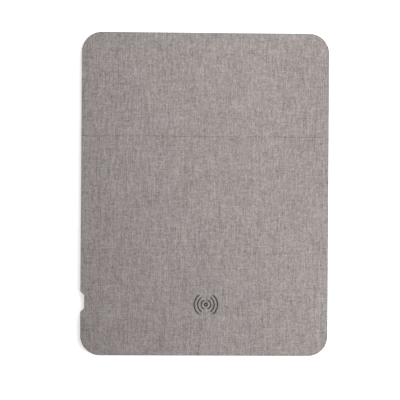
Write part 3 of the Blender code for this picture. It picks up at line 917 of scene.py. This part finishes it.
# %% [markdown]
# ## The port
#
# The plug goes in through a plastic plate at the bottom of the recess. Its slot has a lead-in, a wide
# bevel that guides the plug. Behind it is a folded steel shell with round edges, and in the shell a
# tongue with two rows of contacts.

# %% Port plate, shell and tongue
def add_plate():
    """The plate, with its slot's front edge bevelled."""
    plate = copy_node("port_bezel")
    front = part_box("port_bezel")[0].x
    bevel(plate, [e for e in plate.edges if all(abs(v.co.x - front) < WELD for v in e.verts)], 0.22 * MM, 3)
    split_big_faces(plate)
    install("port_bezel", plate, grey_plastic, SHARP)
    print("port at x =", round(front / MM, 1), "mm")


add_plate()
install_rounded("socket_shell", steel, 0.1 * MM, segments=2)
install_rounded("socket_tongue", black_plastic, 0.08 * MM, segments=2)

# %% [markdown]
# The contacts are gold-plated strips, twelve to a side and half a millimetre apart, let into the
# tongue. Each is a cube scaled to a strip, with its edges rounded.

# %% Contacts
CONTACTS_A_SIDE = 12
CONTACT_PITCH = 0.5 * MM
CONTACT_SIZE = Vector((3.6 * MM, 0.26 * MM, 0.05 * MM))
CONTACT_SETBACK = 0.5 * MM
TONGUE_HALF = 0.35 * MM


def add_contacts():
    bm = bmesh.new()
    low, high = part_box("socket_tongue")
    middle = (low + high) / 2
    x = low.x + CONTACT_SETBACK + CONTACT_SIZE.x / 2
    for side in (-1, 1):
        for i in range(CONTACTS_A_SIDE):
            y = middle.y + (i - (CONTACTS_A_SIDE - 1) / 2) * CONTACT_PITCH
            add_cube(bm, Vector((x, y, middle.z + side * TONGUE_HALF)), CONTACT_SIZE)
    bevel(bm, bm.edges[:], 0.015 * MM, 1)
    gold = flecked("contact_gold", colour(0.72, 0.50, 0.18), colour(0.95, 0.72, 0.32), 0.28,
                   grain=0.5, size=0.1 * MM, bump=0.001 * MM, metallic=1.0)
    contacts = to_object("socket_contacts", bm, gold, "socket_steel")
    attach(contacts, "charging_panel")
    print("contacts:", len(contacts.data.polygons), "faces")


add_contacts()

# %% [markdown]
# ## The electronics
#
# None of this shows on the closed pad. The board is fibreglass under green solder mask, with copper
# tracks that show through the mask as paler lines.

# %% Circuit board
LANE_PITCH, LANE_STRAY = 0.9 * MM, 4 * MM


def circuit_finish():
    """Tracks keep to lanes that jump sideways in steps, and pads lie where a noise is high."""
    finish = Finish("circuit_board", roughness=0.35)
    place = finish.object_place()
    _, y, _ = finish.split(place)
    wander = finish.noise(finish.scaled(place, (300, 300, 0)), detail=0.0)
    lane = (y + (wander - 0.5).maths("SNAP", 0.25) * LANE_STRAY) / LANE_PITCH
    track = finish.steps(abs(lane - lane.maths("ROUND")), 0.24, 0.14)
    pads = finish.noise(finish.scaled(place, (420, 420, 0)), detail=0.0) > 0.62
    copper_there = track.maths("MAXIMUM", pads)
    glass = finish.noise(finish.scaled(place, (2500, 2500, 2500)))
    mask = finish.blend_colours(copper_there, colour(0.010, 0.075, 0.030), colour(0.025, 0.160, 0.060))
    finish.set(Base_Color=finish.blend_colours(glass * 0.3, mask, colour(0.04, 0.20, 0.09)))
    finish.set(Roughness=0.32 + 0.10 * glass, Coat_Weight=0.3)
    finish.bump(copper_there, 0.03 * MM, 0.5)
    return finish


install_rounded("circuit_board", circuit_finish(), 0.05 * MM)

# %% [markdown]
# The small parts on the board are plain blocks, as they come from the frame. A capacitor is tan ceramic
# with a tinned cap on each end, so its mesh carries a number that runs from -1 at one end to 1 at the
# other, and the material turns to metal past the end of the ceramic.

# %% Small parts
CAP_START, CAP_END = 0.66, 0.70
CUT_SHARES = (-0.7, -0.64, 0.64, 0.7)


def capped_finish():
    finish = Finish("capacitor_ceramic", roughness=0.5)
    along = finish.add("ShaderNodeAttribute", {"attribute_name": "along"}, output=2)
    cap = finish.steps(abs(along), CAP_START, CAP_END)
    grain = finish.noise(finish.object_place(), scale=6000, detail=2.0)
    body = finish.blend_colours(grain, colour(0.27, 0.18, 0.11), colour(0.43, 0.31, 0.20))
    tin = finish.blend_colours(grain, colour(0.55, 0.55, 0.53), colour(0.80, 0.80, 0.78))
    finish.set(Base_Color=finish.blend_colours(cap, body, tin), Metallic=cap, Roughness=0.5 - 0.2 * cap)
    finish.bump(grain, 0.004 * MM, 0.6)
    return finish


def add_capacitor(node, finish):
    bm = copy_node(node)
    low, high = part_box(node)
    long_axis = 0 if high.x - low.x > high.y - low.y else 1
    middle, half = (low + high) / 2, (high[long_axis] - low[long_axis]) / 2
    for share in CUT_SHARES:
        cut_at(bm, long_axis, middle[long_axis] + half * share)
    layer = bm.verts.layers.float.new("along")
    for vert in bm.verts:
        vert[layer] = (vert.co[long_axis] - middle[long_axis]) / half
    split_big_faces(bm)
    install(node, bm, finish)


capped = capped_finish()
capacitors = [name for name in frame["nodes"] if "capacitor" in name]
for node in capacitors:
    add_capacitor(node, capped)
others = {"control_chip": chip_resin, "bridge_chip_1": chip_resin, "bridge_chip_2": chip_resin,
          "filter_inductor": ferrite, "crystal": steel}
for node, finish in others.items():
    install(node, copy_node(node), finish, radians(25))
print(len(capacitors), "capacitors and", len(others), "other parts")

# %% [markdown]
# The coil is wound from a bundle of enamelled strands, twisted like a rope. The twist is a stripe in
# the bump and in the shade: it turns with the direction round the coil's centre and climbs with the
# height on the wire.

# %% Coil
TWIST_PITCH, TURN_SHIFT = 0.9 * MM, 0.35 * MM


def copper_finish():
    finish = Finish("copper_wire", roughness=0.35, metallic=1.0)
    place = finish.object_place()
    x, y, z = finish.split(place)
    dx, dy = x - coil_centre.x, y - coil_centre.y
    angle = dy.maths("ARCTAN2", dx)
    radius = (dx * dx + dy * dy).maths("SQRT")
    twist = (angle * radius / TWIST_PITCH + radius / TURN_SHIFT + z / TURN_SHIFT) * (2 * pi)
    strand = twist.maths("SINE") * 0.5 + 0.5
    grain = finish.noise(place, scale=3000, detail=2.0)
    dark, light = colour(0.42, 0.16, 0.06), colour(0.88, 0.46, 0.24)
    finish.set(Base_Color=finish.blend_colours(strand * 0.6 + grain * 0.4, dark, light))
    finish.set(Roughness=0.42 - 0.12 * strand)
    finish.bump(strand, 0.05 * MM, 0.7)
    return finish


install("charging_coil", copy_node("charging_coil"), copper_finish(), radians(60))
